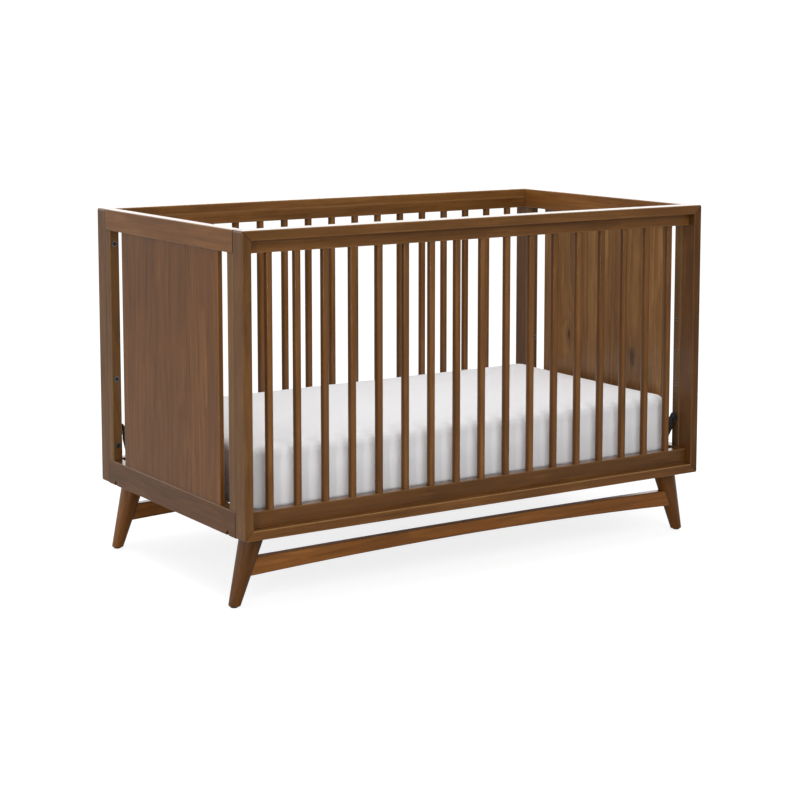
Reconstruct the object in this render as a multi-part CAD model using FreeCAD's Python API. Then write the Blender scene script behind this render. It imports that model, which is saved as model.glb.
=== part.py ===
"""Baby crib: two mitred side frames with round slats, two panelled ends, splayed legs with
stretchers, a steel mattress support on four levels, and a mattress.

The origin is on the floor under the middle of the crib. X runs along the crib, Y across it
from the front side (-Y) to the rear side (+Y), and Z is up. Sizes are in millimetres.
"""
import FreeCAD, Part
import math
import os

Vector = FreeCAD.Vector
os.makedirs("parts", exist_ok=True)

# Overall sizes
crib_length = 1400.0
crib_width = 800.0
box_height = 731.0
leg_height = 173.0

# Mitred side frames, one at the front and one at the rear
frame_face = 24.0
frame_depth = 48.0
frame_corner_radius = 5.0
frame_outer_radius = 3.0
frame_inner_chamfer = 1.2
mitre_groove = 0.8
spline_side = 18.0
spline_thick = 4.0

# Slat rails inside each side frame
rail_recess = 22.0
top_slat_rail_height = 31.0
bottom_slat_rail_height = 40.0
slat_rail_edge = 1.5

# Round slats
slat_count = 17
slat_diameter = 20.0
slat_end_gap = 52.0
slat_socket_depth = 14.0

# End panels
end_rail_thick = 30.0
end_rail_edge = 2.0
post_thick = 26.0
post_width = 28.0
post_edge = 2.0
side_gap = 58.0
panel_thick = 13.0
panel_setback = 6.0
panel_groove_depth = 8.0
panel_edge = 1.5
notch_width = 12.0
notch_height = 12.0
notch_from_post = 11.0

# Wooden dowels
dowel_diameter = 8.0
dowel_length = 40.0
dowel_spacing = 11.2

# Legs, stretchers and foot glides
leg_inset_x = 58.0
leg_inset_y = 72.0
leg_splay = 50.0
leg_top_radius = 30.0
leg_foot_radius = 14.5
foot_edge_radius = 4.0
glide_diameter = 18.0
glide_height = 3.0
stretcher_thick = 28.0
stretcher_edge = 5.0
stretcher_drop = 57.0
stretcher_end_height = 44.0
stretcher_top_rise = 4.0
stretcher_bottom_rise = 15.0
corner_block_side = 82.0
corner_block_height = 20.0
leg_bolt_diameter = 8.0
leg_bolt_in_leg = 50.0
leg_bolt_in_block = 17.0
leg_insert_diameter = 12.0

# Bolts that join the side frames to the end posts
side_bolt_diameter = 6.0
side_bolt_heights = (105.0, 283.0, 641.0)
side_bolt_in_stile = 22.0
bolt_hole_clear = 0.3
side_head_diameter = 10.5
side_head_height = 3.5
side_head_edge = 1.2
hex_key_width = 4.0
hex_key_depth = 2.2
washer_diameter = 15.6
washer_thick = 1.5
insert_diameter = 9.0
insert_length = 15.0

# Mattress levels and the bolts that carry the support
level_count = 4
level_pitch = 89.5
lowest_level = 147.0
hanger_bolt_diameter = 6.0
shoulder_diameter = 12.0
hanger_head_diameter = 14.0
hanger_head_height = 4.4
hanger_head_edge = 1.5
hanger_clear = 0.3

# Steel mattress support
hanger_thick = 3.0
hanger_standoff = 1.0
hanger_half_width = 12.0
hanger_run = 66.0
hanger_drop = 113.0
hanger_foot = 30.0
hook_clear = 0.4
angle_size = 25.0
angle_thick = 2.5
head_room = 2.0
rivet_diameter = 5.0
rivet_collar_diameter = 12.0
rivet_head_diameter = 9.0
rivet_head_height = 2.0
support_side_clear = 5.0
wire_diameter = 4.0
long_wire_count = 9
cross_wire_count = 14
wire_margin = 30.0

# Mattress
mattress_height = 155.0
mattress_end_clear = 15.0
mattress_side_clear = 7.0
mattress_deck_clear = 0.5
mattress_corner_radius = 40.0
mattress_top_radius = 22.0
mattress_base_radius = 8.0

# How close two surfaces are taken to be the same, when edges are picked out
near = 0.01

# Places that follow from the sizes above
half_length = crib_length / 2
half_width = crib_width / 2
box_bottom = leg_height
box_top = leg_height + box_height
frame_front = -half_width
frame_back = frame_front + frame_depth
rail_front = frame_front + rail_recess
slat_axis_y = (rail_front + frame_back) / 2
stile_inside = half_length - frame_face
top_slat_rail_bottom = box_top - frame_face - top_slat_rail_height
bottom_slat_rail_top = box_bottom + frame_face + bottom_slat_rail_height
top_end_rail_height = frame_face + top_slat_rail_height
bottom_end_rail_height = frame_face + bottom_slat_rail_height
end_opening_bottom = box_bottom + bottom_end_rail_height
end_opening_top = box_top - top_end_rail_height
end_rail_inside = -half_length + end_rail_thick
post_inside = -half_length + post_thick
post_axis_x = -half_length + post_thick / 2
post_front = frame_back
post_back = frame_back + post_width
post_axis_y = (post_front + post_back) / 2
panel_front = post_back + side_gap
panel_outside = -half_length + panel_setback
leg_top_x = -half_length + leg_inset_x
leg_y = frame_front + leg_inset_y
level_z = box_bottom + lowest_level
hanger_outside = end_rail_inside + hanger_standoff + hanger_clear
hanger_inside = hanger_outside + hanger_thick
shoulder_end = hanger_outside - hanger_clear
head_start = hanger_inside + hanger_clear
angle_outside = head_start + hanger_head_height + head_room
hanger_low_y = post_axis_y + hanger_run
hanger_low_z = level_z - hanger_drop
end_angle_bottom = hanger_low_z - angle_size / 2
end_angle_top = end_angle_bottom + angle_size
side_angle_top = end_angle_top + wire_diameter
long_wire_z = end_angle_top + wire_diameter / 2
cross_wire_z = side_angle_top + wire_diameter / 2
support_front = frame_back + support_side_clear
deck_top = cross_wire_z + wire_diameter / 2


def box(x0, x1, y0, y1, z0, z1):
    """A box between two corners."""
    return Part.makeBox(x1 - x0, y1 - y0, z1 - z0, Vector(x0, y0, z0))


def rod(radius, start, end):
    """A round bar between two points."""
    along = end.sub(start)
    return Part.makeCylinder(radius, along.Length, start, along)


def plate(points, thickness_vector):
    """A flat plate: a closed outline of points, thickened along a vector."""
    outline = Part.makePolygon(points + [points[0]])
    return Part.Face(outline).extrude(thickness_vector)


def edges_along(shape, axis):
    """The straight edges of a shape that run along one axis, 0 for X, 1 for Y and 2 for Z."""
    found = []
    for edge in shape.Edges:
        if not isinstance(edge.Curve, (Part.Line, Part.LineSegment)):
            continue
        if abs(edge.tangentAt(edge.FirstParameter)[axis]) > 0.999:
            found.append(edge)
    return found


def rounded_bar(bar, axis, radius):
    """A bar with the four long arrises along one axis rounded."""
    return bar.makeFillet(radius, edges_along(bar, axis))


def flip_x(shape):
    """The mirror copy at the other end of the crib."""
    return shape.mirror(Vector(0, 0, 0), Vector(1, 0, 0))


def flip_y(shape):
    """The mirror copy at the other side of the crib."""
    return shape.mirror(Vector(0, 0, 0), Vector(0, 1, 0))


def both_ends(shapes):
    """The shapes at the left end and their copies at the right end."""
    return shapes + [flip_x(shape) for shape in shapes]


def all_corners(shapes):
    """The shapes at the front left corner and their copies at the other three."""
    ends = both_ends(shapes)
    return ends + [flip_y(shape) for shape in ends]


def cut_all(shape, tools):
    """A shape with every tool cut out of it."""
    return shape.cut(Part.makeCompound(tools)) if tools else shape


def save(name, shapes):
    """Write one sub-part, a solid or a group of separate solids."""
    whole = shapes[0] if len(shapes) == 1 else Part.makeCompound(shapes)
    solids = whole.Solids
    if not whole.isValid() or len(solids) != len(shapes):
        print("CHECK", name, "valid", whole.isValid(), "solids", len(solids), "of", len(shapes))
    whole.exportStep("parts/" + name + ".step")


# ---- Side frames -------------------------------------------------------------------------

def mitre_corners():
    """The four outer corners of the front frame, each with its inward diagonal."""
    corners = []
    for side_x in (-1, 1):
        for side_z, z in ((-1, box_bottom), (1, box_top)):
            corner = Vector(side_x * half_length, 0, z)
            inward = Vector(-side_x, 0, -side_z)
            corners.append((corner, inward))
    return corners


def mitre_grooves():
    """Fine V grooves along the mitres, on the front and back faces of the frame."""
    grooves = []
    for corner, inward in mitre_corners():
        across = Vector(0, mitre_groove, 0)
        beside = Vector(inward.z, 0, -inward.x).normalize().multiply(mitre_groove)
        run = Vector(inward).multiply(frame_face + 2 * frame_corner_radius)
        for face_y in (frame_front, frame_back):
            start = Vector(corner.x, face_y, corner.z).sub(Vector(inward).multiply(frame_corner_radius))
            diamond = [start.add(across), start.add(beside), start.sub(across), start.sub(beside)]
            grooves.append(plate(diamond, run))
    return grooves


def mitre_splines():
    """Square wooden splines, set diagonally across each mitre inside the frame."""
    splines = []
    reach = spline_side / math.sqrt(2) / 2
    for corner, inward in mitre_corners():
        middle = corner.add(Vector(inward).multiply(frame_face / 2))
        low_y = (frame_front + frame_back - spline_thick) / 2
        square = []
        for step_x, step_z in ((-reach, -reach), (reach, -reach), (reach, reach), (-reach, reach)):
            square.append(Vector(middle.x + step_x, low_y, middle.z + step_z))
        splines.append(plate(square, Vector(0, spline_thick, 0)))
    return splines


def frame_ring():
    """The whole mitred frame in one piece, before it is parted along the mitres."""
    outer = box(-half_length, half_length, frame_front, frame_back, box_bottom, box_top)
    outer = outer.makeFillet(frame_corner_radius, edges_along(outer, 1))
    rim = []
    for edge in outer.Edges:
        limits = edge.BoundBox
        if limits.YLength < near:
            rim.append(edge)
    outer = outer.makeFillet(frame_outer_radius, rim)
    opening = box(
        -stile_inside, stile_inside,
        frame_front - 1, frame_back + 1,
        box_bottom + frame_face, box_top - frame_face,
    )
    ring = outer.cut(opening)
    inner_rim = []
    for edge in ring.Edges:
        limits = edge.BoundBox
        inside_x = max(abs(limits.XMin), abs(limits.XMax)) < stile_inside + near
        inside_z = limits.ZMin > box_bottom + frame_face - near and limits.ZMax < box_top - frame_face + near
        at_front = abs(limits.YMin - frame_front) < near and limits.YLength < near
        if inside_x and inside_z and at_front:
            inner_rim.append(edge)
    return ring.makeChamfer(frame_inner_chamfer, inner_rim)


def mitred_member(ring, points):
    """One board of the frame: the ring inside a wedge with 45 degree ends."""
    outline = [Vector(x, frame_front - 1, z) for x, z in points]
    return ring.common(plate(outline, Vector(0, frame_depth + 2, 0)))


def frame_members():
    """The four mitred boards, by name."""
    ring = cut_all(frame_ring(), mitre_grooves() + mitre_splines() + side_bolt_cuts("stile"))
    ring = cut_all(ring, rail_dowels())
    out = frame_corner_radius
    deep = frame_face + out
    left, right = -half_length, half_length
    top = [(left - out, box_top + out), (right + out, box_top + out),
           (right - deep, box_top - deep), (left + deep, box_top - deep)]
    bottom = [(left - out, box_bottom - out), (right + out, box_bottom - out),
              (right - deep, box_bottom + deep), (left + deep, box_bottom + deep)]
    left_side = [(left - out, box_bottom - out), (left + deep, box_bottom + deep),
                 (left + deep, box_top - deep), (left - out, box_top + out)]
    right_side = [(-x, z) for x, z in left_side]
    return {
        "top_member": mitred_member(ring, top),
        "bottom_member": mitred_member(ring, bottom),
        "left_stile": mitred_member(ring, left_side),
        "right_stile": mitred_member(ring, right_side),
    }


def slat_positions():
    """The X positions of the slats, evenly spread between the stiles."""
    first = -stile_inside + slat_end_gap + slat_diameter / 2
    pitch = -2 * first / (slat_count - 1)
    return [first + number * pitch for number in range(slat_count)]


def slats():
    """The round slats, with their ends in sockets in the two slat rails."""
    low = bottom_slat_rail_top - slat_socket_depth
    high = top_slat_rail_bottom + slat_socket_depth
    bars = []
    for x in slat_positions():
        bars.append(rod(slat_diameter / 2, Vector(x, slat_axis_y, low), Vector(x, slat_axis_y, high)))
    return bars


def rail_dowels():
    """Dowels that pin the ends of the slat rails to the stiles."""
    pins = []
    low_z = (box_bottom + frame_face + bottom_slat_rail_top) / 2
    high_z = (top_slat_rail_bottom + box_top - frame_face) / 2
    half = dowel_length / 2
    for z in (low_z, high_z):
        start = Vector(-stile_inside - frame_face / 2, slat_axis_y, z)
        pins.append(rod(dowel_diameter / 2, start, start.add(Vector(half + frame_face / 2, 0, 0))))
    return both_ends(pins)


def slat_rails():
    """The top and bottom slat rails, with sockets for the slats."""
    spans = {
        "top_slat_rail": (top_slat_rail_bottom, box_top - frame_face),
        "bottom_slat_rail": (box_bottom + frame_face, bottom_slat_rail_top),
    }
    sockets = slats() + rail_dowels()
    rails = {}
    for name, (low, high) in spans.items():
        bar = box(-stile_inside, stile_inside, rail_front, frame_back, low, high)
        rails[name] = cut_all(rounded_bar(bar, 0, slat_rail_edge), sockets)
    return rails


# ---- Bolts through the posts -------------------------------------------------------------

def side_bolt_lines():
    """The points where the side bolts' axes meet the inner face of the front left post."""
    return [Vector(post_axis_x, post_back, box_bottom + height) for height in side_bolt_heights]


def side_bolt_cuts(piece):
    """Holes for the side bolts: clearance and a washer seat in a post, an insert hole in a stile."""
    cuts = []
    for point in side_bolt_lines():
        into = Vector(0, -1, 0)
        if piece == "post":
            radius = side_bolt_diameter / 2 + bolt_hole_clear
            cuts.append(Part.makeCylinder(radius, post_width + 1, point, into))
            cuts.append(Part.makeCylinder(washer_diameter / 2, washer_thick, point, into))
        else:
            mouth = Vector(point.x, frame_back, point.z)
            cuts.append(Part.makeCylinder(insert_diameter / 2, insert_length, mouth, into))
            cuts.append(Part.makeCylinder(side_bolt_diameter / 2, side_bolt_in_stile, mouth, into))
    return cuts if piece == "post" else both_ends(cuts)


def hex_prism(width, base, direction, length):
    """A six-sided key socket, by its width across the flats."""
    corner = width / math.sqrt(3)
    side = Vector(0, 0, 1)
    if abs(direction.z) > 0.9:
        side = Vector(1, 0, 0)
    other = direction.cross(side)
    points = []
    for step in range(6):
        turn = math.radians(60 * step)
        points.append(
            base.add(Vector(side).multiply(corner * math.cos(turn)))
            .add(Vector(other).multiply(corner * math.sin(turn)))
        )
    return plate(points, Vector(direction).multiply(length))


def side_bolts():
    """Button-head bolts from the post's inner face into the stile."""
    bolts = []
    for point in side_bolt_lines():
        inward = Vector(0, 1, 0)
        stem_end = Vector(point.x, frame_back - side_bolt_in_stile, point.z)
        stem = rod(side_bolt_diameter / 2, stem_end, point)
        head = Part.makeCylinder(side_head_diameter / 2, side_head_height, point, inward)
        rim = [edge for edge in head.Edges if edge.BoundBox.YMin > point.y + side_head_height - near]
        head = head.makeFillet(side_head_edge, rim)
        crown = Vector(point.x, point.y + side_head_height, point.z)
        key = hex_prism(hex_key_width, crown, Vector(0, -1, 0), hex_key_depth)
        bolts.append(stem.fuse(head).removeSplitter().cut(key))
    return all_corners(bolts)


def side_washers():
    """Washers let in flush with the post's inner face."""
    washers = []
    for point in side_bolt_lines():
        disc = Part.makeCylinder(washer_diameter / 2, washer_thick, point, Vector(0, -1, 0))
        bore = Part.makeCylinder(side_bolt_diameter / 2, washer_thick, point, Vector(0, -1, 0))
        washers.append(disc.cut(bore))
    return all_corners(washers)


def side_inserts():
    """Threaded inserts in the stiles, for the side bolts."""
    sleeves = []
    for point in side_bolt_lines():
        mouth = Vector(point.x, frame_back, point.z)
        outer = Part.makeCylinder(insert_diameter / 2, insert_length, mouth, Vector(0, -1, 0))
        bore = Part.makeCylinder(side_bolt_diameter / 2, insert_length, mouth, Vector(0, -1, 0))
        sleeves.append(outer.cut(bore))
    return all_corners(sleeves)


def level_points():
    """The insert mouths on the front left post, one for each mattress level."""
    points = []
    for number in range(level_count):
        points.append(Vector(post_inside, post_axis_y, level_z + number * level_pitch))
    return points


def level_holes():
    """Blind holes for the level inserts in the front left post."""
    holes = []
    for point in level_points():
        holes.append(Part.makeCylinder(insert_diameter / 2, insert_length, point, Vector(-1, 0, 0)))
    return holes


def level_inserts():
    """Threaded inserts for the four mattress levels."""
    sleeves = []
    for point in level_points():
        outer = Part.makeCylinder(insert_diameter / 2, insert_length, point, Vector(-1, 0, 0))
        bore = Part.makeCylinder(hanger_bolt_diameter / 2, insert_length, point, Vector(-1, 0, 0))
        sleeves.append(outer.cut(bore))
    return all_corners(sleeves)


def hanger_bolts():
    """Shoulder bolts in the lowest inserts, which carry the four hangers."""
    point = level_points()[0]
    start = Vector(point.x - insert_length, point.y, point.z)
    shoulder_tip = Vector(shoulder_end, point.y, point.z)
    head_base = Vector(head_start, point.y, point.z)
    stem = rod(hanger_bolt_diameter / 2, start, head_base)
    shoulder = rod(shoulder_diameter / 2, point, shoulder_tip)
    head = Part.makeCylinder(hanger_head_diameter / 2, hanger_head_height, head_base, Vector(1, 0, 0))
    rim = [edge for edge in head.Edges if edge.BoundBox.XMin > head_start + hanger_head_height - near]
    head = head.makeFillet(hanger_head_edge, rim)
    crown = Vector(head_start + hanger_head_height, point.y, point.z)
    key = hex_prism(hex_key_width, crown, Vector(-1, 0, 0), hex_key_depth)
    return all_corners([stem.fuse([shoulder, head]).removeSplitter().cut(key)])


# ---- End panels --------------------------------------------------------------------------

def end_dowels():
    """Dowels between the posts and the two end rails."""
    pins = []
    half = dowel_length / 2
    for z in (end_opening_bottom, end_opening_top):
        for y in (post_axis_y - dowel_spacing / 2, post_axis_y + dowel_spacing / 2):
            low = Vector(post_axis_x, y, z - half)
            pins.append(rod(dowel_diameter / 2, low, low.add(Vector(0, 0, dowel_length))))
    return all_corners(pins)


def end_panel():
    """The wide solid panel of the left end, let into grooves in both rails."""
    board = box(
        panel_outside, panel_outside + panel_thick,
        panel_front, -panel_front,
        end_opening_bottom - panel_groove_depth, end_opening_top + panel_groove_depth,
    )
    return rounded_bar(board, 2, panel_edge)


def notch(y):
    """An arched notch in the lower edge of an end rail."""
    radius = notch_width / 2
    crown = notch_height - radius
    low = box_bottom - 1
    slot = box(-half_length - 1, end_rail_inside + 1, y - radius, y + radius, low, box_bottom + crown)
    start = Vector(-half_length - 1, y, box_bottom + crown)
    arch = Part.makeCylinder(radius, end_rail_thick + 2, start, Vector(1, 0, 0))
    return slot.fuse(arch)


def end_rails():
    """The top and bottom rails of the left end."""
    notch_y = post_back + notch_from_post
    cuts = {
        "top_rail": [end_panel()] + end_dowels(),
        "bottom_rail": [end_panel(), notch(notch_y), notch(-notch_y)] + end_dowels() + block_dowels(),
    }
    spans = {
        "top_rail": (end_opening_top, box_top),
        "bottom_rail": (box_bottom, end_opening_bottom),
    }
    rails = {}
    for name, (low, high) in spans.items():
        bar = box(-half_length, end_rail_inside, frame_back, -frame_back, low, high)
        rails[name] = cut_all(rounded_bar(bar, 1, end_rail_edge), cuts[name])
    return rails


def end_post():
    """The front post of the left end, with its bolt holes and level inserts' holes."""
    bar = box(-half_length, post_inside, post_front, post_back, end_opening_bottom, end_opening_top)
    bar = rounded_bar(bar, 2, post_edge)
    return cut_all(bar, side_bolt_cuts("post") + level_holes() + end_dowels())


# ---- Legs and stretchers -----------------------------------------------------------------

def leg_axis(distance):
    """A point on the front left leg's axis, by its distance down from the leg's top."""
    top = Vector(leg_top_x, leg_y, box_bottom)
    foot = Vector(leg_top_x - leg_splay, leg_y, glide_height)
    along = foot.sub(top)
    return top.add(Vector(along).multiply(distance / along.Length))


def leg_length():
    """The length of the leg's axis."""
    return math.hypot(leg_splay, box_bottom - glide_height)


def leg_cone():
    """The front left leg's tapered body, cut level at the box and at the foot."""
    spare = leg_top_radius
    taper = (leg_foot_radius - leg_top_radius) / leg_length()
    start = leg_axis(-spare)
    end = leg_axis(leg_length() + spare)
    along = end.sub(start)
    cone = Part.makeCone(
        leg_top_radius - taper * spare, leg_foot_radius + taper * spare, along.Length, start, along
    )
    reach = 3 * leg_top_radius + leg_splay
    slab = box(leg_top_x - reach, leg_top_x + reach, leg_y - reach, leg_y + reach, glide_height, box_bottom)
    return cone.common(slab)


def leg():
    """The front left leg, with a rounded foot and its holes."""
    body = leg_cone()
    foot_edges = [edge for edge in body.Edges if edge.BoundBox.ZMax < glide_height + near]
    body = body.makeFillet(foot_edge_radius, foot_edges)
    return cut_all(body, [leg_bolt()] + stretcher_pins())


def leg_bolt():
    """The threaded rod between the front left leg and its corner block."""
    return rod(leg_bolt_diameter / 2, leg_axis(-leg_bolt_in_block), leg_axis(leg_bolt_in_leg))


def leg_insert():
    """The threaded insert for that rod, inside the corner block."""
    clear_of_leg = leg_insert_diameter / 4
    low = leg_axis(-clear_of_leg)
    high = leg_axis(-leg_bolt_in_block)
    return rod(leg_insert_diameter / 2, low, high).cut(rod(leg_bolt_diameter / 2, low, high))


def corner_block():
    """The block in the front left corner that the leg is bolted to."""
    block = box(
        end_rail_inside, end_rail_inside + corner_block_side,
        frame_back, frame_back + corner_block_side,
        box_bottom, box_bottom + corner_block_height,
    )
    return cut_all(block, [leg_bolt(), leg_insert()] + block_dowels())


def block_dowels():
    """Dowels from the corner blocks into the bottom end rails."""
    start_x = end_rail_inside - dowel_length / 2
    z = box_bottom + corner_block_height / 2
    pins = []
    for from_edge in (1.5, 3.5):
        y = frame_back + corner_block_side - from_edge * dowel_diameter
        start = Vector(start_x, y, z)
        pins.append(rod(dowel_diameter / 2, start, start.add(Vector(dowel_length, 0, 0))))
    return all_corners(pins)


def stretcher_arch(end_x, end_z, middle_z):
    """An arched edge of the front stretcher, from one leg axis to the other."""
    curve = Part.BSplineCurve()
    curve.interpolate([Vector(-end_x, 0, end_z), Vector(0, 0, middle_z), Vector(end_x, 0, end_z)])
    return curve.toShape()


def stretcher_middle_distance():
    """How far down the leg's axis the middle of the stretcher's end is."""
    drop = stretcher_drop + stretcher_end_height / 2
    return leg_length() * drop / (box_bottom - glide_height)


def stretcher():
    """The front stretcher: an arched bar whose ends meet the round legs."""
    end_x = abs(leg_axis(stretcher_middle_distance()).x)
    top_z = box_bottom - stretcher_drop
    low_z = top_z - stretcher_end_height
    upper = stretcher_arch(end_x, top_z, top_z + stretcher_top_rise)
    lower = stretcher_arch(end_x, low_z, low_z + stretcher_bottom_rise)
    left = Part.makeLine(Vector(-end_x, 0, low_z), Vector(-end_x, 0, top_z))
    right = Part.makeLine(Vector(end_x, 0, low_z), Vector(end_x, 0, top_z))
    outline = Part.Wire(Part.__sortEdges__([upper, right, lower, left]))
    bar = Part.Face(outline).extrude(Vector(0, stretcher_thick, 0))
    bar.translate(Vector(0, leg_y - stretcher_thick / 2, 0))
    long_edges = [edge for edge in bar.Edges if edge.BoundBox.XLength > end_x]
    bar = bar.makeFillet(stretcher_edge, long_edges)
    return cut_all(bar, both_ends([leg_cone()])).cut(Part.makeCompound(both_ends(stretcher_pins())))


def stretcher_pins():
    """Dowels between the front left leg and the front stretcher."""
    middle = leg_axis(stretcher_middle_distance())
    pins = []
    for step in (-1, 1):
        z = middle.z + step * dowel_diameter
        start = Vector(middle.x, middle.y, z)
        pins.append(rod(dowel_diameter / 2, start, start.add(Vector(dowel_length, 0, 0))))
    return pins


def foot_glide():
    """The front left foot's plastic glide."""
    foot = leg_axis(leg_length())
    disc = Part.makeCylinder(glide_diameter / 2, glide_height, Vector(foot.x, foot.y, 0))
    lower = [edge for edge in disc.Edges if edge.BoundBox.ZMax < near]
    return disc.makeFillet(glide_height / 3, lower)


# ---- Mattress support --------------------------------------------------------------------

def arm_plate(start, end):
    """A flat steel bar with round ends between two points in the plane of a hanger."""
    along = end.sub(start).normalize()
    beside = Vector(0, -along.z, along.y).multiply(hanger_half_width)
    thick = Vector(hanger_thick, 0, 0)
    middle = plate([start.add(beside), end.add(beside), end.sub(beside), start.sub(beside)], thick)
    return middle.fuse([rod(hanger_half_width, point, point.add(thick)) for point in (start, end)])


def rivet_points():
    """The two rivets of the front left hanger, on the hanger's outer face."""
    first = Vector(hanger_outside, hanger_low_y, hanger_low_z)
    return [first, first.add(Vector(0, hanger_foot, 0))]


def hanger():
    """The front left hanger: a sloping arm with a hook slot that drops over its bolt."""
    top = Vector(hanger_outside, post_axis_y, level_z)
    low, foot = rivet_points()
    body = arm_plate(top, low).fuse(arm_plate(low, foot)).removeSplitter()
    radius = hanger_bolt_diameter / 2 + hook_clear
    crown = level_z - hook_clear / 4
    eye = Part.makeCylinder(radius, hanger_thick, Vector(hanger_outside, post_axis_y, crown), Vector(1, 0, 0))
    slot = box(
        hanger_outside, hanger_inside,
        post_axis_y - radius, post_axis_y + radius,
        level_z - 3 * hanger_half_width, crown,
    )
    holes = [Part.makeCylinder(rivet_diameter / 2, hanger_thick, p, Vector(1, 0, 0)) for p in (low, foot)]
    return cut_all(body, [eye.fuse(slot)] + holes)


def hanger_rivets():
    """Rivets with spacer collars between the hangers and the end angles."""
    rivets = []
    for point in rivet_points():
        collar_start = Vector(hanger_inside, point.y, point.z)
        collar_end = Vector(angle_outside, point.y, point.z)
        head_base = Vector(angle_outside + angle_thick, point.y, point.z)
        head_end = Vector(head_base.x + rivet_head_height, point.y, point.z)
        stem = rod(rivet_diameter / 2, point, head_base)
        collar = rod(rivet_collar_diameter / 2, collar_start, collar_end)
        head = rod(rivet_head_diameter / 2, head_base, head_end)
        rivets.append(stem.fuse([collar, head]).removeSplitter())
    return all_corners(rivets)


def end_angle():
    """The left end angle of the support, between the two side angles."""
    low_y = support_front + angle_thick
    flange_bottom = end_angle_top - angle_thick
    upright = box(angle_outside, angle_outside + angle_thick, low_y, -low_y, end_angle_bottom, end_angle_top)
    shelf = box(angle_outside, angle_outside + angle_size, low_y, -low_y, flange_bottom, end_angle_top)
    holes = []
    for point in rivet_points():
        start = Vector(angle_outside, point.y, point.z)
        holes.append(Part.makeCylinder(rivet_diameter / 2, angle_thick, start, Vector(1, 0, 0)))
    return cut_all(upright.fuse(shelf).removeSplitter(), holes + [flip_y(hole) for hole in holes])


def side_angle():
    """The front side angle of the support, the full length of the support."""
    left, right = angle_outside, -angle_outside
    low, top = side_angle_top - angle_size, side_angle_top
    upright = box(left, right, support_front, support_front + angle_thick, low, top)
    shelf = box(left, right, support_front, support_front + angle_size, top - angle_thick, top)
    return upright.fuse(shelf).removeSplitter()


def spread(count, limit):
    """Evenly spaced places from minus a limit to the limit."""
    return [-limit + 2 * limit * number / (count - 1) for number in range(count)]


def long_wires():
    """Deck wires along the crib, welded to the end angles."""
    reach = abs(angle_outside + angle_thick)
    limit = abs(support_front) - wire_margin
    wires = []
    for y in spread(long_wire_count, limit):
        wires.append(rod(wire_diameter / 2, Vector(-reach, y, long_wire_z), Vector(reach, y, long_wire_z)))
    return wires


def cross_wires():
    """Deck wires across the crib, welded to the side angles."""
    reach = abs(support_front + angle_thick)
    limit = abs(angle_outside) - wire_margin
    wires = []
    for x in spread(cross_wire_count, limit):
        wires.append(rod(wire_diameter / 2, Vector(x, -reach, cross_wire_z), Vector(x, reach, cross_wire_z)))
    return wires


def mattress():
    """The mattress, as a plain rounded block."""
    reach_x = abs(end_rail_inside) - mattress_end_clear
    reach_y = abs(frame_back) - mattress_side_clear
    low = deck_top + mattress_deck_clear
    block = box(-reach_x, reach_x, -reach_y, reach_y, low, low + mattress_height)
    block = block.makeFillet(mattress_corner_radius, edges_along(block, 2))
    base = [edge for edge in block.Edges if edge.BoundBox.ZMax < low + near]
    block = block.makeFillet(mattress_base_radius, base)
    rim = [edge for edge in block.Edges if edge.BoundBox.ZMin > low + mattress_height - near]
    return block.makeFillet(mattress_top_radius, rim)


# ---- Writing the sub-parts ---------------------------------------------------------------

def save_sides():
    """The front and rear sides."""
    pieces = {name: [shape] for name, shape in {**frame_members(), **slat_rails()}.items()}
    pieces["slats"] = slats()
    for name, shapes in pieces.items():
        save("front_" + name, shapes)
        save("rear_" + name, [flip_y(shape) for shape in shapes])
    splines = mitre_splines()
    save("mitre_splines", splines + [flip_y(shape) for shape in splines])
    pins = rail_dowels()
    save("slat_rail_dowels", pins + [flip_y(shape) for shape in pins])


def save_ends():
    """The left and right ends."""
    post = end_post()
    pieces = dict(end_rails())
    pieces["panel"] = end_panel()
    pieces["front_post"] = post
    pieces["rear_post"] = flip_y(post)
    for name, shape in pieces.items():
        save("left_" + name, [shape])
        save("right_" + name, [flip_x(shape)])
    save("post_dowels", end_dowels())


def save_hardware():
    """Bolts, washers and inserts."""
    save("side_bolts", side_bolts())
    save("side_bolt_washers", side_washers())
    save("side_bolt_inserts", side_inserts())
    save("level_inserts", level_inserts())
    save("hanger_bolts", hanger_bolts())


def save_base():
    """Legs, stretchers, glides and the corner blocks that hold them."""
    front_left = leg()
    front_right = flip_x(front_left)
    save("front_left_leg", [front_left])
    save("front_right_leg", [front_right])
    save("rear_left_leg", [flip_y(front_left)])
    save("rear_right_leg", [flip_y(front_right)])
    bar = stretcher()
    save("front_stretcher", [bar])
    save("rear_stretcher", [flip_y(bar)])
    save("stretcher_dowels", all_corners(stretcher_pins()))
    save("foot_glides", all_corners([foot_glide()]))
    save("corner_blocks", all_corners([corner_block()]))
    save("corner_block_dowels", block_dowels())
    save("leg_bolts", all_corners([leg_bolt()]))
    save("leg_inserts", all_corners([leg_insert()]))


def save_support():
    """The steel mattress support and the mattress."""
    arm = hanger()
    save("front_left_hanger", [arm])
    save("front_right_hanger", [flip_x(arm)])
    save("rear_left_hanger", [flip_y(arm)])
    save("rear_right_hanger", [flip_y(flip_x(arm))])
    save("hanger_rivets", hanger_rivets())
    save("support_left_angle", [end_angle()])
    save("support_right_angle", [flip_x(end_angle())])
    save("support_front_angle", [side_angle()])
    save("support_rear_angle", [flip_y(side_angle())])
    save("deck_long_wires", long_wires())
    save("deck_cross_wires", cross_wires())
    save("mattress", [mattress()])


save_sides()
save_ends()
save_hardware()
save_base()
save_support()
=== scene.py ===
"""Looks of the baby crib: stained walnut boards, black steel, zinc hardware and a soft mattress.

Units are metres. The origin is on the floor under the middle of the crib, X runs along it,
Y from the front side to the rear side, and Z is up.
"""
import math

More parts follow.
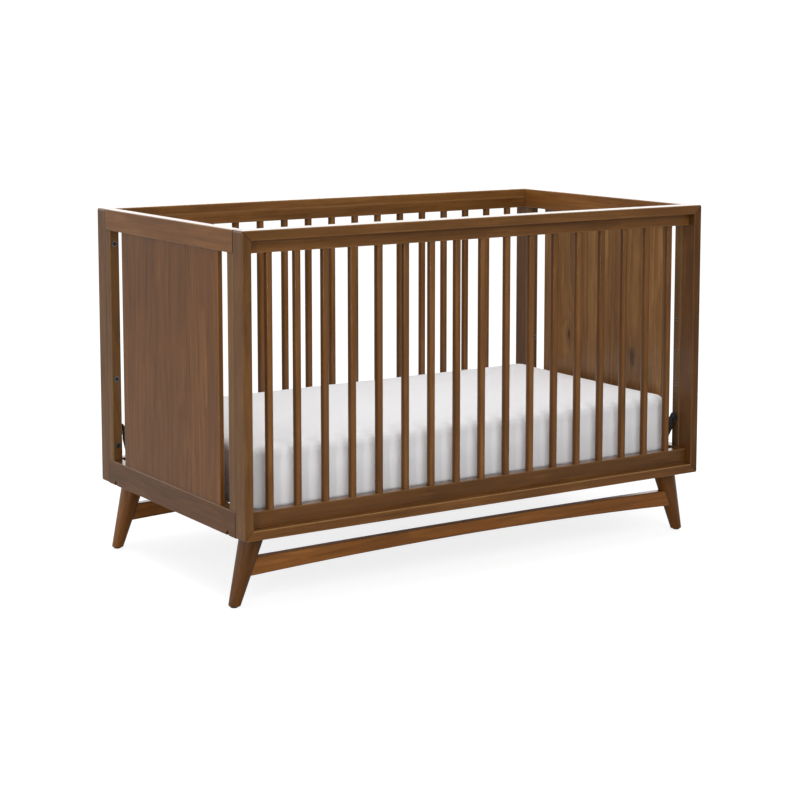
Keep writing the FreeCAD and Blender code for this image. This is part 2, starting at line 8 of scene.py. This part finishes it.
import bmesh
import bpy
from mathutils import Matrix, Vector


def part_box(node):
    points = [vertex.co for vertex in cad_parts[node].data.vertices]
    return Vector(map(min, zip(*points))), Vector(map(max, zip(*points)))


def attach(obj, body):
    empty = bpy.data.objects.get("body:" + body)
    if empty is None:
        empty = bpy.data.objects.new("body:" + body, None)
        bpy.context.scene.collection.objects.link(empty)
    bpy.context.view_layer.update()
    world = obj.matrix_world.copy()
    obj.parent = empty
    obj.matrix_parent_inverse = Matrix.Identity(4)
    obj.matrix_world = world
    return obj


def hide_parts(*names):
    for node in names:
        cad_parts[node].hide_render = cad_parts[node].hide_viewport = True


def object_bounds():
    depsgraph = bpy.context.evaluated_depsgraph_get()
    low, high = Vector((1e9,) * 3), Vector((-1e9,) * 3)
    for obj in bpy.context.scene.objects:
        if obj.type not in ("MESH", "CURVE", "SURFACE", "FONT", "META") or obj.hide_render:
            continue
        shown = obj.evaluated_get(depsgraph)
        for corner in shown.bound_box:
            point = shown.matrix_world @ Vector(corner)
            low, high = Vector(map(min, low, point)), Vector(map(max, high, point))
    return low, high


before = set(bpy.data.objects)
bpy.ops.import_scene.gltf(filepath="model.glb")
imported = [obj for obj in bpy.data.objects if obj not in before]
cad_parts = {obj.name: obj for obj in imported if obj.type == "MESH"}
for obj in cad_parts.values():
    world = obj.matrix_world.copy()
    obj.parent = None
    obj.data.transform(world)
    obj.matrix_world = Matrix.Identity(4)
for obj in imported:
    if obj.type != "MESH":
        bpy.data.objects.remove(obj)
cad_low, cad_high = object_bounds()


# ---- Shader maths ------------------------------------------------------------------------

class Value:
    """A socket of a material's node, with arithmetic that adds Math nodes."""

    def __init__(self, finish, socket):
        self.finish = finish
        self.socket = socket

    def math(self, operation, *others):
        """A Math node of this value and the others."""
        return self.finish.calculate(operation, self, *others)

    def __add__(self, other):
        return self.math("ADD", other)

    def __sub__(self, other):
        return self.math("SUBTRACT", other)

    def __rsub__(self, other):
        return self.finish.calculate("SUBTRACT", other, self)

    def __mul__(self, other):
        return self.math("MULTIPLY", other)

    def __truediv__(self, other):
        return self.math("DIVIDE", other)

    def __abs__(self):
        return self.math("ABSOLUTE")

    __radd__ = __add__
    __rmul__ = __mul__

    def rise(self, low, high):
        """0 below low, 1 above high, and smooth between. Low may be the larger of the two."""
        settings = {"interpolation_type": "SMOOTHSTEP"}
        inputs = {0: self, 1: low, 2: high, 3: 0.0, 4: 1.0}
        return self.finish.node("ShaderNodeMapRange", settings, inputs)

    def part(self, name):
        """One component of a vector, "X", "Y" or "Z"."""
        return self.finish.node("ShaderNodeSeparateXYZ", {}, {0: self}, name)


class Finish:
    """A material that is being made, or the world round the crib."""

    def __init__(self, name, store=bpy.data.materials):
        self.owner = store.new(name)
        self.owner.use_nodes = True
        self.tree = self.owner.node_tree
        self.tree.nodes.clear()

    def node(self, kind, settings, inputs, output=0):
        """Adds a node with its settings and its sockets' inputs, and returns one output."""
        made = self.tree.nodes.new(kind)
        for name, value in settings.items():
            if name == "stops":
                self.set_stops(made.color_ramp, value)
            else:
                setattr(made, name, value)
        for name, value in inputs.items():
            socket = made.inputs[name]
            if isinstance(value, Value):
                self.tree.links.new(value.socket, socket)
            else:
                socket.default_value = value
        return Value(self, made.outputs[output]) if made.outputs else None

    def calculate(self, operation, *terms):
        """A Math node."""
        return self.node("ShaderNodeMath", {"operation": operation}, dict(enumerate(terms)))

    def set_stops(self, ramp, stops):
        """Gives a colour ramp its stops, each a position and a colour."""
        while len(ramp.elements) < len(stops):
            ramp.elements.new(0.5)
        for element, (place, colour) in zip(ramp.elements, stops):
            element.position = place
            element.color = (*colour, 1.0)

    def place(self):
        """The point of the surface in the crib's own frame."""
        return self.node("ShaderNodeTexCoord", {}, {}, "Object")

    def vector(self, operation, output, *terms):
        """A Vector Math node."""
        inputs = dict(enumerate(terms))
        return self.node("ShaderNodeVectorMath", {"operation": operation}, inputs, output)

    def along(self, point, direction):
        """How far a point lies along a direction."""
        return self.vector("DOT_PRODUCT", "Value", point, direction)

    def point(self, x, y, z):
        """A vector of three values."""
        return self.node("ShaderNodeCombineXYZ", {}, {0: x, 1: y, 2: z})

    def noise(self, point, scale, detail=2.0, roughness=0.5):
        """Smooth noise between 0 and 1."""
        inputs = {"Vector": point, "Scale": scale, "Detail": detail, "Roughness": roughness}
        return self.node("ShaderNodeTexNoise", {}, inputs, "Fac")

    def cells(self, point, scale):
        """The distance to the nearest of many scattered points."""
        return self.node("ShaderNodeTexVoronoi", {}, {"Vector": point, "Scale": scale}, "Distance")

    def chance(self, value):
        """A random number for each whole number."""
        settings = {"noise_dimensions": "1D"}
        return self.node("ShaderNodeTexWhiteNoise", settings, {"W": value}, "Value")

    def blend(self, share, first, second, kind="MIX"):
        """Two colours mixed."""
        settings = {"data_type": "RGBA", "blend_type": kind, "clamp_factor": True}
        inputs = {0: share, 6: paint(first), 7: paint(second)}
        return self.node("ShaderNodeMix", settings, inputs, 2)

    def ramp(self, value, stops):
        """A colour from a ramp."""
        return self.node("ShaderNodeValToRGB", {"stops": stops}, {0: value}, "Color")

    def bump(self, height, strength, depth):
        """A normal from a height, with depth in metres."""
        inputs = {"Height": height, "Strength": strength, "Distance": depth}
        return self.node("ShaderNodeBump", {}, inputs, "Normal")

    def surface(self, inputs):
        """The Principled shader of the material."""
        shader = self.node("ShaderNodeBsdfPrincipled", {}, inputs)
        self.node("ShaderNodeOutputMaterial", {}, {"Surface": shader})
        return self.owner


def paint(colour):
    """A colour for a socket: a link as it is, or three numbers with an alpha."""
    return colour if isinstance(colour, Value) else (*colour, 1.0)


def scaled(colour, factor):
    """A colour times a number."""
    return tuple(channel * factor for channel in colour)


# ---- Wood --------------------------------------------------------------------------------

stain_dark = (0.070, 0.0275, 0.0085)
stain_middle = (0.175, 0.083, 0.026)
stain_light = (0.285, 0.150, 0.055)
warm_glaze = (1.0, 0.69, 0.35)
warm_gloss = (1.0, 0.72, 0.45, 1.0)
rings_per_metre = 105.0
ring_wander = 0.10
knot_stretch = (0.0, 1.0, 0.42)
joint_edge, joint_core, joint_stain = 0.0018, 0.0007, 0.8
# How far from an arris its lightening reaches: partly wear, partly a painted highlight.
arris_edge, arris_core = 0.0036, 0.0006
# Where the painted shade along each slat's sides starts and where it is full, as shares of the
# radius.
painted_shade_start, painted_shade_full = 0.55, 0.80
board_lacquer = {"Coat Weight": 0.85, "Coat IOR": 1.3, "Coat Roughness": 0.16}
slat_lacquer = {"Coat Weight": 0.45, "Coat IOR": 1.45, "Coat Roughness": 0.11}
ALONG_X = Vector((1, 0, 0))
ALONG_Y = Vector((0, 1, 0))
ALONG_Z = Vector((0, 0, 1))


def across_grain(grain):
    """Two directions at right angles to the fibres."""
    aside = ALONG_Y if abs(grain.y) < 0.5 else ALONG_X
    return aside, grain.cross(aside).normalized()


def from_ends(place, letter, low, high):
    """How far inside the nearer of two limits a point is."""
    return (high - low) / 2 - abs(place.part(letter) - (low + high) / 2)


def wood(
    name, grain, seed, tone=1.0, limits=None, figure=0.35, knots=(), slats=None, warmth=0.0,
    staves=None, arris=0.32, mitre=None,
):
    """Stained wood, with its fibres along a direction.

    The limits are the board's box, and its arrises are lighter, partly wear and partly a painted
    highlight. Knots are given as a point and a radius. Slats are given as the first one's X,
    their pitch and their radius, and each slat is painted darker along both sides as shade.
    Staves are the width of the boards that a panel is glued up from. Mitre is the box of
    a frame whose corners are mitred, and stain gathers dark in a board's joints.
    """
    finish = Finish(name)
    place = finish.place()
    aside, third = across_grain(grain)
    length = finish.along(place, grain)
    left = finish.along(place, aside) + seed * 0.37
    deep = finish.along(place, third) + seed * 0.61
    length = length + seed * 1.7
    if slats:
        counted = (place.part("X") - slats[0]) / slats[1]
        number = counted.math("ROUND")
        own = finish.chance(number + seed)
        to_side = abs(counted - number) * (slats[1] / slats[2])
        length = length + own * 7.0
        deep = deep + own * 0.9

    def drawn_out(per_length, per_width, detail, roughness=0.6):
        """Noise drawn out along the fibres. The two rates are changes in a metre."""
        point = finish.point(length * per_length, left * per_width, deep * per_width)
        return finish.noise(point, 1.0, detail, roughness)

    slow = drawn_out(2.2, 9.0, 3.0)
    cloud = drawn_out(14.0, 40.0, 3.0)
    streak = drawn_out(4.5, 120.0, 4.0, 0.68)
    fibre = drawn_out(15.0, 520.0, 3.0)
    fine = drawn_out(45.0, 1300.0, 2.0)
    wander = drawn_out(0.8, 6.0, 3.0, 0.55) * ring_wander
    knot_dark = None
    for centre, radius in knots:
        offset = finish.vector("SUBTRACT", "Vector", place, centre)
        flat = finish.vector("MULTIPLY", "Vector", offset, knot_stretch)
        away = finish.vector("LENGTH", "Value", flat)
        ragged = away + (finish.noise(place, 60.0, 2.0) - 0.5) * radius * 0.9
        spot = ragged.rise(radius, radius * 0.25)
        halo = ragged.rise(radius * 2.4, radius * 0.6) * 0.35
        spot = spot.math("MAXIMUM", halo)
        wander = wander + away.rise(radius * 4.0, 0.0) * 0.012
        knot_dark = spot if knot_dark is None else knot_dark.math("MAXIMUM", spot)
    through_rings = (wander + left * 0.30 + deep * 0.22) * rings_per_metre
    through_rings = through_rings + (streak - 0.5) * 0.7 + (cloud - 0.5) * 0.5
    ring = through_rings.math("FRACT")
    late = ring.rise(0.0, 0.85) * ring.rise(1.0, 0.80)
    pores = fine.rise(0.60, 0.70) * streak.rise(0.40, 0.62)
    tone_value = (
        0.52
        + (slow - 0.5) * 0.80
        + (cloud - 0.5) * 0.30
        + (streak - 0.5) * 0.75
        + (fibre - 0.5) * 0.35
        - (late - 0.35) * figure * 0.40
    )
    if slats:
        tone_value = tone_value + (own - 0.5) * 0.22
    if staves:
        own = finish.chance((place.part("Y") / staves + 0.35).math("FLOOR") + seed)
        tone_value = tone_value + (own - 0.5) * 0.26
    colour = finish.ramp(
        tone_value,
        (
            (0.0, scaled(stain_dark, tone)),
            (0.28, scaled(stain_middle, tone * 0.72)),
            (0.55, scaled(stain_middle, tone)),
            (1.0, scaled(stain_light, tone)),
        ),
    )
    if warmth:
        colour = finish.blend(warmth, colour, warm_glaze, "MULTIPLY")
    colour = finish.blend(pores * 0.38, colour, scaled(stain_dark, tone * 0.6))
    if knot_dark is not None:
        colour = finish.blend(knot_dark * 0.85, colour, scaled(stain_dark, 0.40))
    if slats:
        # Painted shade: each slat is darkened towards both of its sides, with a streaky edge, as
        # if shaded.
        slat_side_shade = to_side.rise(painted_shade_start, painted_shade_full) * (0.55 + (streak - 0.5) * 0.8)
        colour = finish.blend(slat_side_shade, colour, scaled(stain_dark, tone * 0.7))
    gloss_change = 0.0
    if limits:
        low, high = limits
        near = []
        for axis, letter in enumerate("XYZ"):
            inward = from_ends(place, letter, low[axis], high[axis])
            if abs(grain[axis]) > 0.5:
                joint = inward
            else:
                near.append(inward)
        if mitre:
            across = from_ends(place, "X", mitre[0].x, mitre[1].x)
            upward = from_ends(place, "Z", mitre[0].z, mitre[1].z)
            joint = abs(across - upward)
        gathered = joint.rise(joint_edge, joint_core) * joint_stain
        colour = finish.blend(gathered, colour, scaled(stain_dark, 0.5))
        # The arrises are lighter: partly wear, partly a painted highlight along the edges.
        corner = near[0].math("MAXIMUM", near[1])
        corner = corner + (finish.noise(place, 90.0, 3.0) - 0.5) * 0.0022
        edge_wear_and_highlight = corner.rise(arris_edge, arris_core)
        colour = finish.blend(edge_wear_and_highlight * arris, colour, scaled(stain_light, tone * 1.25))
        gloss_change = edge_wear_and_highlight * 0.08
    roughness = 0.36 + (fibre - 0.5) * 0.16 + pores * 0.12 - gloss_change
    height = fibre * 0.45 + streak * 0.5 - pores * 0.6
    return finish.surface({
        "Base Color": colour,
        "Roughness": roughness,
        "Normal": finish.bump(height, 0.32, 0.0004),
        "Specular IOR Level": 0.10,
        "Specular Tint": warm_gloss,
        **(slat_lacquer if slats else board_lacquer),
    })


# ---- Metal, plastic and cloth ------------------------------------------------------------

def powder_coat():
    """Black powder coat: a fine orange peel, with dust and rubbed spots."""
    finish = Finish("black_powder_coat")
    place = finish.place()
    peel = finish.noise(place, 900.0, 2.0)
    dust = finish.noise(place, 14.0, 4.0, 0.6)
    rubbed = finish.noise(place, 70.0, 3.0, 0.7).rise(0.62, 0.72)
    colour = finish.ramp(dust, ((0.25, (0.010, 0.010, 0.011)), (0.8, (0.026, 0.025, 0.025))))
    colour = finish.blend(rubbed * 0.35, colour, (0.060, 0.058, 0.056))
    return finish.surface({
        "Base Color": colour,
        "Roughness": 0.42 + (dust - 0.5) * 0.18 + peel * 0.06,
        "Normal": finish.bump(peel, 0.35, 0.0002),
    })


turning_rates = (2600.0, 300.0, 2600.0)


def zinc(name, shade):
    """Zinc plate: faint turning lines, with darker and lighter patches."""
    finish = Finish(name)
    place = finish.place()
    patch = finish.noise(place, 160.0, 3.0, 0.6)
    lines = finish.noise(finish.vector("MULTIPLY", "Vector", place, turning_rates), 1.0)
    dull = scaled((1.0, 0.98, 0.93), shade * 0.7)
    bright = scaled((1.0, 0.98, 0.94), shade * 1.1)
    colour = finish.ramp(patch, ((0.3, dull), (0.7, bright)))
    return finish.surface({
        "Base Color": colour,
        "Metallic": 1.0 - patch.rise(0.72, 0.85) * 0.25,
        "Roughness": 0.30 + patch * 0.14 + lines * 0.08,
        "Normal": finish.bump(lines, 0.2, 0.0001),
    })


def plain_wood(name, pale, dark, grain):
    """Unfinished wood of dowels and splines."""
    finish = Finish(name)
    place = finish.place()
    aside, third = across_grain(grain)
    length = finish.along(place, grain)
    left = finish.along(place, aside)
    deep = finish.along(place, third)
    point = finish.point(length * 20.0, left * 420.0, deep * 420.0)
    fibre = finish.noise(point, 1.0, 3.0, 0.6)
    fleck = finish.cells(point, 0.6).rise(0.18, 0.05)
    colour = finish.ramp(fibre, ((0.3, dark), (0.75, pale)))
    colour = finish.blend(fleck * 0.5, colour, scaled(dark, 0.55))
    return finish.surface({
        "Base Color": colour,
        "Roughness": 0.62 + (fibre - 0.5) * 0.2,
        "Normal": finish.bump(fibre, 0.4, 0.0003),
    })


scuff_height = 0.0016
nylon_brown = (0.030, 0.022, 0.016)
nylon_scuffed = (0.115, 0.100, 0.085)


def moulded_nylon():
    """Dark brown nylon of the foot glides, scuffed near the floor."""
    finish = Finish("moulded_nylon")
    place = finish.place()
    grain = finish.noise(place, 1400.0, 2.0)
    low_down = place.part("Z").rise(scuff_height, 0.0)
    scuff = low_down * finish.noise(place, 260.0, 3.0).rise(0.35, 0.65)
    colour = finish.blend(scuff, nylon_brown, nylon_scuffed)
    return finish.surface({
        "Base Color": colour,
        "Roughness": 0.5 + scuff * 0.3,
        "Normal": finish.bump(grain, 0.3, 0.0002),
    })


thread_spacing = 0.0011
slub_rates = (60.0, 900.0, 900.0)
cotton_white = (0.85, 0.85, 0.867)


def woven_cotton():
    """A white cotton cover: a plain weave, with slubs and a faint drift of tone."""
    finish = Finish("white_cotton")
    place = finish.place()
    threads = 1.0 / thread_spacing
    weave = None
    for letter in "XYZ":
        wave = abs((place.part(letter) * threads * math.pi).math("SINE"))
        weave = wave if weave is None else weave + wave
    slub = finish.noise(finish.vector("MULTIPLY", "Vector", place, slub_rates), 1.0, 3.0)
    drift = finish.noise(place, 5.0, 3.0)
    crease = finish.noise(place, 11.0, 4.0, 0.55)
    shade = 0.5 + (drift - 0.5) * 0.5 + (slub - 0.5) * 0.35
    darker, lighter = scaled(cotton_white, 0.965), scaled(cotton_white, 1.02)
    colour = finish.ramp(shade, ((0.2, darker), (0.8, lighter)))
    height = weave * 0.12 + slub * 0.25 + crease * 0.3
    return finish.surface({
        "Base Color": colour,
        "Roughness": 0.86 + (slub - 0.5) * 0.12,
        "Normal": finish.bump(height, 0.25, 0.0009),
        "Sheen Weight": 0.12,
        "Sheen Roughness": 0.5,
    })


# ---- Materials of the CAD nodes ----------------------------------------------------------

def dress(node, material):
    """Gives a CAD node one material in every slot."""
    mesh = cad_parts[node].data
    if not mesh.materials:
        mesh.materials.append(material)
    for number in range(len(mesh.materials)):
        mesh.materials[number] = material


def dress_board(node, grain, seed, **looks):
    """Gives a board its own piece of wood."""
    dress(node, wood("wood_" + node, grain, seed, limits=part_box(node), **looks))


slat_low, slat_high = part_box("front_slats")
slat_radius = (slat_high.y - slat_low.y) / 2
slat_gaps = 16
slat_first = slat_low.x + slat_radius
slat_pitch = (slat_high.x - slat_low.x - 2 * slat_radius) / slat_gaps

for side, seed in (("front_", 1.0), ("rear_", 21.0)):
    mitre = (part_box(side + "left_stile")[0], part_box(side + "right_stile")[1])
    top_tone = 1.02 if side == "rear_" else 0.83
    dress_board(side + "top_member", ALONG_X, seed, tone=top_tone, warmth=0.38, mitre=mitre)
    # The bottom members' arrises carry a strong painted highlight on top of their wear.
    dress_board(
        side + "bottom_member", ALONG_X, seed + 1, tone=0.86, warmth=0.55, arris=0.8, mitre=mitre,
    )
    dress_board(
        side + "left_stile", ALONG_Z, seed + 2, tone=0.78, warmth=0.3, arris=0.1, mitre=mitre,
    )
    dress_board(side + "right_stile", ALONG_Z, seed + 3, tone=0.56, warmth=0.6, mitre=mitre)
    dress_board(side + "top_slat_rail", ALONG_X, seed + 4, tone=0.90, warmth=0.45)
    dress_board(side + "bottom_slat_rail", ALONG_X, seed + 5, tone=0.74, warmth=0.5)
    dress(side + "slats", wood(
        "wood_" + side + "slats", ALONG_Z, seed + 6, tone=1.0, warmth=0.5,
        slats=(slat_first, slat_pitch, slat_radius),
    ))

right_panel_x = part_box("right_panel")[0].x
right_knots = (
    (Vector((right_panel_x, 0.145, 0.487)), 0.010),
    (Vector((right_panel_x, -0.142, 0.455)), 0.019),
)
stave_width = 0.088
left_end = {"post": 0.85, "panel": 0.88, "panel_warmth": 0.7, "knots": ()}
right_end = {"post": 0.62, "panel": 1.12, "panel_warmth": 0.12, "knots": right_knots}
for end, seed, looks in (("left_", 41.0, left_end), ("right_", 61.0, right_end)):
    dress_board(end + "top_rail", ALONG_Y, seed, tone=0.95, warmth=0.55, figure=0.15)
    dress_board(end + "bottom_rail", ALONG_Y, seed + 1, tone=0.60, warmth=0.7)
    dress_board(end + "front_post", ALONG_Z, seed + 2, tone=looks["post"])
    dress_board(end + "rear_post", ALONG_Z, seed + 3, tone=looks["post"], warmth=0.1)
    dress_board(
        end + "panel", ALONG_Z, seed + 4, tone=looks["panel"], warmth=looks["panel_warmth"],
        figure=0.45, staves=stave_width, knots=looks["knots"],
    )

leg_tones = {
    "front_left_leg": 0.64,
    "front_right_leg": 0.78,
    "rear_left_leg": 1.12,
    "rear_right_leg": 0.90,
}
leg_lean, leg_drop = 0.050, 0.170
for number, (node, tone) in enumerate(leg_tones.items()):
    low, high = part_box(node)
    side = -1 if (low.x + high.x) < 0 else 1
    grain = Vector((-side * leg_lean, 0, leg_drop)).normalized()
    dress(node, wood("wood_" + node, grain, 81.0 + number, tone=tone, warmth=0.8, figure=0.4))
for number, node in enumerate(("front_stretcher", "rear_stretcher")):
    dress_board(node, ALONG_X, 91.0 + number, tone=1.38, warmth=0.78)
dress("corner_blocks", wood("wood_corner_blocks", ALONG_X, 97.0, tone=0.95))

beech_pale, beech_dark = (0.60, 0.42, 0.25), (0.42, 0.27, 0.14)
for nodes, grain in (
    (("slat_rail_dowels", "corner_block_dowels", "stretcher_dowels"), ALONG_X),
    (("mitre_splines", "post_dowels"), ALONG_Z),
):
    for node in nodes:
        dress(node, plain_wood("beech_" + node, beech_pale, beech_dark, grain))

black = powder_coat()
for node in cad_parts:
    if node.startswith(("support_", "deck_")) or node.endswith("_hanger"):
        dress(node, black)
for node in ("hanger_rivets", "side_bolts", "hanger_bolts"):
    dress(node, black)
plated = zinc("zinc_plate", 0.58)
for node in ("side_bolt_inserts", "leg_bolts", "leg_inserts"):
    dress(node, plated)
dark_plated = zinc("dark_zinc", 0.26)
dress("side_bolt_washers", dark_plated)
dress("level_inserts", dark_plated)
dress("foot_glides", moulded_nylon())


# ---- Mattress ----------------------------------------------------------------------------

def mesh_object(name, mesh, material, body):
    """An object with a material that rides on a body."""
    piece = bpy.data.objects.new(name, mesh)
    bpy.context.scene.collection.objects.link(piece)
    piece.data.materials.clear()
    piece.data.materials.append(material)
    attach(piece, body)
    return piece


mattress_low, mattress_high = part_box("mattress")
cover_start = 0.003
corner_radius, corner_segments = 0.040, 8
top_radius, base_radius, rim_segments = 0.020, 0.006, 5
sharp_angle = 0.8
voxel = 0.006
cloth_pressure = 4.0
cloth_frames = 20
cloth_quality = 3
cloth_cap = 0.004
even_rounds = 120
firm_base = 0.008
firm_fade = 0.070


def round_off(made, edges, radius, segments):
    """Rounds edges of a mesh that is being made."""
    bmesh.ops.bevel(
        made, geom=edges, offset=radius, segments=segments, affect="EDGES", profile=0.5,
    )


def rounded_block(low, high):
    """The mattress before it swells: a block with round corners and round rims."""
    made = bmesh.new()
    bmesh.ops.create_cube(made, size=1.0)
    size = high - low
    middle = (high + low) / 2
    for vertex in made.verts:
        vertex.co = Vector(vertex.co[axis] * size[axis] + middle[axis] for axis in range(3))
    upright = []
    for edge in made.edges:
        start, end = edge.verts
        if abs(start.co.z - end.co.z) > size.z / 2:
            upright.append(edge)
    round_off(made, upright, corner_radius, corner_segments)
    for height, radius in ((high.z, top_radius), (low.z, base_radius)):
        rim = []
        for edge in made.edges:
            level = all(abs(vertex.co.z - height) < radius / 100 for vertex in edge.verts)
            if level and edge.calc_face_angle(0.0) > sharp_angle:
                rim.append(edge)
        round_off(made, rim, radius, rim_segments)
    mesh = bpy.data.meshes.new("mattress_cover")
    made.to_mesh(mesh)
    made.free()
    return mesh


def remeshed(source):
    """The mesh of an object after its modifiers."""
    graph = bpy.context.evaluated_depsgraph_get()
    return bpy.data.meshes.new_from_object(source.evaluated_get(graph))


def evened(mesh, ways):
    """The ways of a mesh's points, evened out between neighbours so that nothing buckles."""
    helper = bpy.data.objects.new("cover_ways", mesh.copy())
    bpy.context.scene.collection.objects.link(helper)
    for vertex, way in zip(helper.data.vertices, ways):
        vertex.co = way
    smooth = helper.modifiers.new("even", "SMOOTH")
    smooth.factor = 0.5
    smooth.iterations = even_rounds
    result = [vertex.co.copy() for vertex in remeshed(helper).vertices]
    bpy.data.objects.remove(helper)
    return result


def swell(mesh, floor_z):
    """Blows the cover up as cloth, with each point's way limited and the bottom kept flat."""
    scene = bpy.context.scene
    source = bpy.data.objects.new("cover_source", mesh)
    scene.collection.objects.link(source)
    voxels = source.modifiers.new("voxels", "REMESH")
    voxels.mode = "VOXEL"
    voxels.voxel_size = voxel
    fine = remeshed(source)
    bpy.data.objects.remove(source)
    pad = bpy.data.objects.new("cover_cloth", fine)
    scene.collection.objects.link(pad)
    start = [vertex.co.copy() for vertex in fine.vertices]
    cloth = pad.modifiers.new("cloth", "CLOTH")
    cloth.settings.quality = cloth_quality
    cloth.settings.use_pressure = True
    cloth.settings.uniform_pressure_force = cloth_pressure
    cloth.settings.effector_weights.gravity = 0.0
    for number in range(1, cloth_frames + 1):
        scene.frame_set(number)
    swollen = remeshed(pad)
    scene.frame_set(1)
    bpy.data.objects.remove(pad)
    ways = []
    for vertex, before in zip(swollen.vertices, start):
        way = vertex.co - before
        if way.length > cloth_cap:
            way = way * (cloth_cap / way.length)
        ways.append(way)
    for vertex, before, way in zip(swollen.vertices, start, evened(swollen, ways)):
        firmness = min(1.0, max(0.0, (before.z - floor_z - firm_base) / firm_fade))
        vertex.co = before + way * firmness
        vertex.co.z = max(vertex.co.z, floor_z)
    return swollen


cover_mesh = swell(
    rounded_block(
        mattress_low + Vector((cover_start, cover_start, 0.001)),
        mattress_high - Vector((cover_start, cover_start, cover_start)),
    ),
    mattress_low.z,
)
for polygon in cover_mesh.polygons:
    polygon.use_smooth = True
mattress = mesh_object(
    "mattress_cover", cover_mesh, woven_cotton(), "mattress_block",
)
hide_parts("mattress")


# ---- Floor, light and camera -------------------------------------------------------------

floor_darker, floor_lighter = (0.34, 0.34, 0.34), (0.36, 0.36, 0.36)
floor_glow, floor_glow_seen = 0.06, 0.72
studio_front, studio_behind, studio_backdrop = 0.55, 0.35, 0.9


def floor_finish():
    """A plain pale floor. It is seen a little lighter than it lights the crib."""
    finish = Finish("pale_floor")
    speck = finish.noise(finish.place(), 30.0, 3.0)
    colour = finish.ramp(speck, ((0.3, floor_darker), (0.7, floor_lighter)))
    seen = finish.node("ShaderNodeLightPath", {}, {}, "Is Camera Ray")
    return finish.surface({
        "Base Color": colour,
        "Roughness": 0.9,
        "Specular IOR Level": 0.0,
        "Emission Color": (1.0, 1.0, 1.0, 1.0),
        "Emission Strength": seen * floor_glow_seen + floor_glow,
    })


floor_reach = 60.0
floor_mesh = bpy.data.meshes.new("floor")
floor_mesh.from_pydata(
    [(-floor_reach, -floor_reach, 0), (floor_reach, -floor_reach, 0),
     (floor_reach, floor_reach, 0), (-floor_reach, floor_reach, 0)],
    [], [(0, 1, 2, 3)],
)
floor = bpy.data.objects.new("floor", floor_mesh)
floor.location.z = cad_low.z
bpy.context.scene.collection.objects.link(floor)
floor_mesh.materials.append(floor_finish())


def studio():
    """A white studio, brighter behind the crib than in front of it, with a bright low backdrop."""
    finish = Finish("studio", bpy.data.worlds)
    bpy.context.scene.world = finish.owner
    direction = finish.node("ShaderNodeTexCoord", {}, {}, "Generated")
    behind = finish.along(direction, Vector((-0.35, 0.93, 0.1)).normalized()).rise(-0.5, 0.6)
    level = abs(direction.part("Z")).rise(0.5, 0.15)
    strength = studio_front + behind * studio_behind + behind * level * studio_backdrop
    seen = finish.node("ShaderNodeLightPath", {}, {}, "Is Camera Ray")
    glow = seen.math("MAXIMUM", strength)
    inputs = {"Color": (1.0, 1.0, 1.0, 1.0), "Strength": glow}
    sky = finish.node("ShaderNodeBackground", {}, inputs)
    finish.node("ShaderNodeOutputWorld", {}, {"Surface": sky})


def lamp(name, place, aim, size, power, width=None):
    """A large soft lamp. With a width of its own it is a tall strip."""
    data = bpy.data.lights.new(name, "AREA")
    data.shape = "RECTANGLE"
    data.size = width or size
    data.size_y = size
    data.energy = power
    light = bpy.data.objects.new(name, data)
    light.location = place
    light.rotation_mode = "QUATERNION"
    light.rotation_quaternion = (Vector(aim) - Vector(place)).to_track_quat("-Z", "Y")
    bpy.context.scene.collection.objects.link(light)


studio()
lamp("key", (-0.8, -4.6, 3.4), (0.0, 0.0, 0.5), 4.0, 105.0)
lamp("top", (-0.4, 0.4, 4.6), (0.0, 0.0, 0.4), 3.0, 60.0)
lamp("strip", (-4.0, -3.1, 0.95), (0.0, 0.0, 0.6), 2.6, 46.0, width=0.32)

camera_data = bpy.data.cameras.new("camera")
camera_data.sensor_width = 36.0
camera_data.lens = 86.01
camera_data.shift_y = -0.15
camera = bpy.data.objects.new("camera", camera_data)
bpy.context.scene.collection.objects.link(camera)
camera.location = (-2.778, -4.248, 1.310)
camera_pitch = math.radians(6.781)
camera_azimuth = math.radians(-33.115)
camera.rotation_euler = (math.radians(90) - camera_pitch, 0.0, camera_azimuth)
bpy.context.scene.camera = camera
bpy.context.scene.view_settings.view_transform = "Standard"
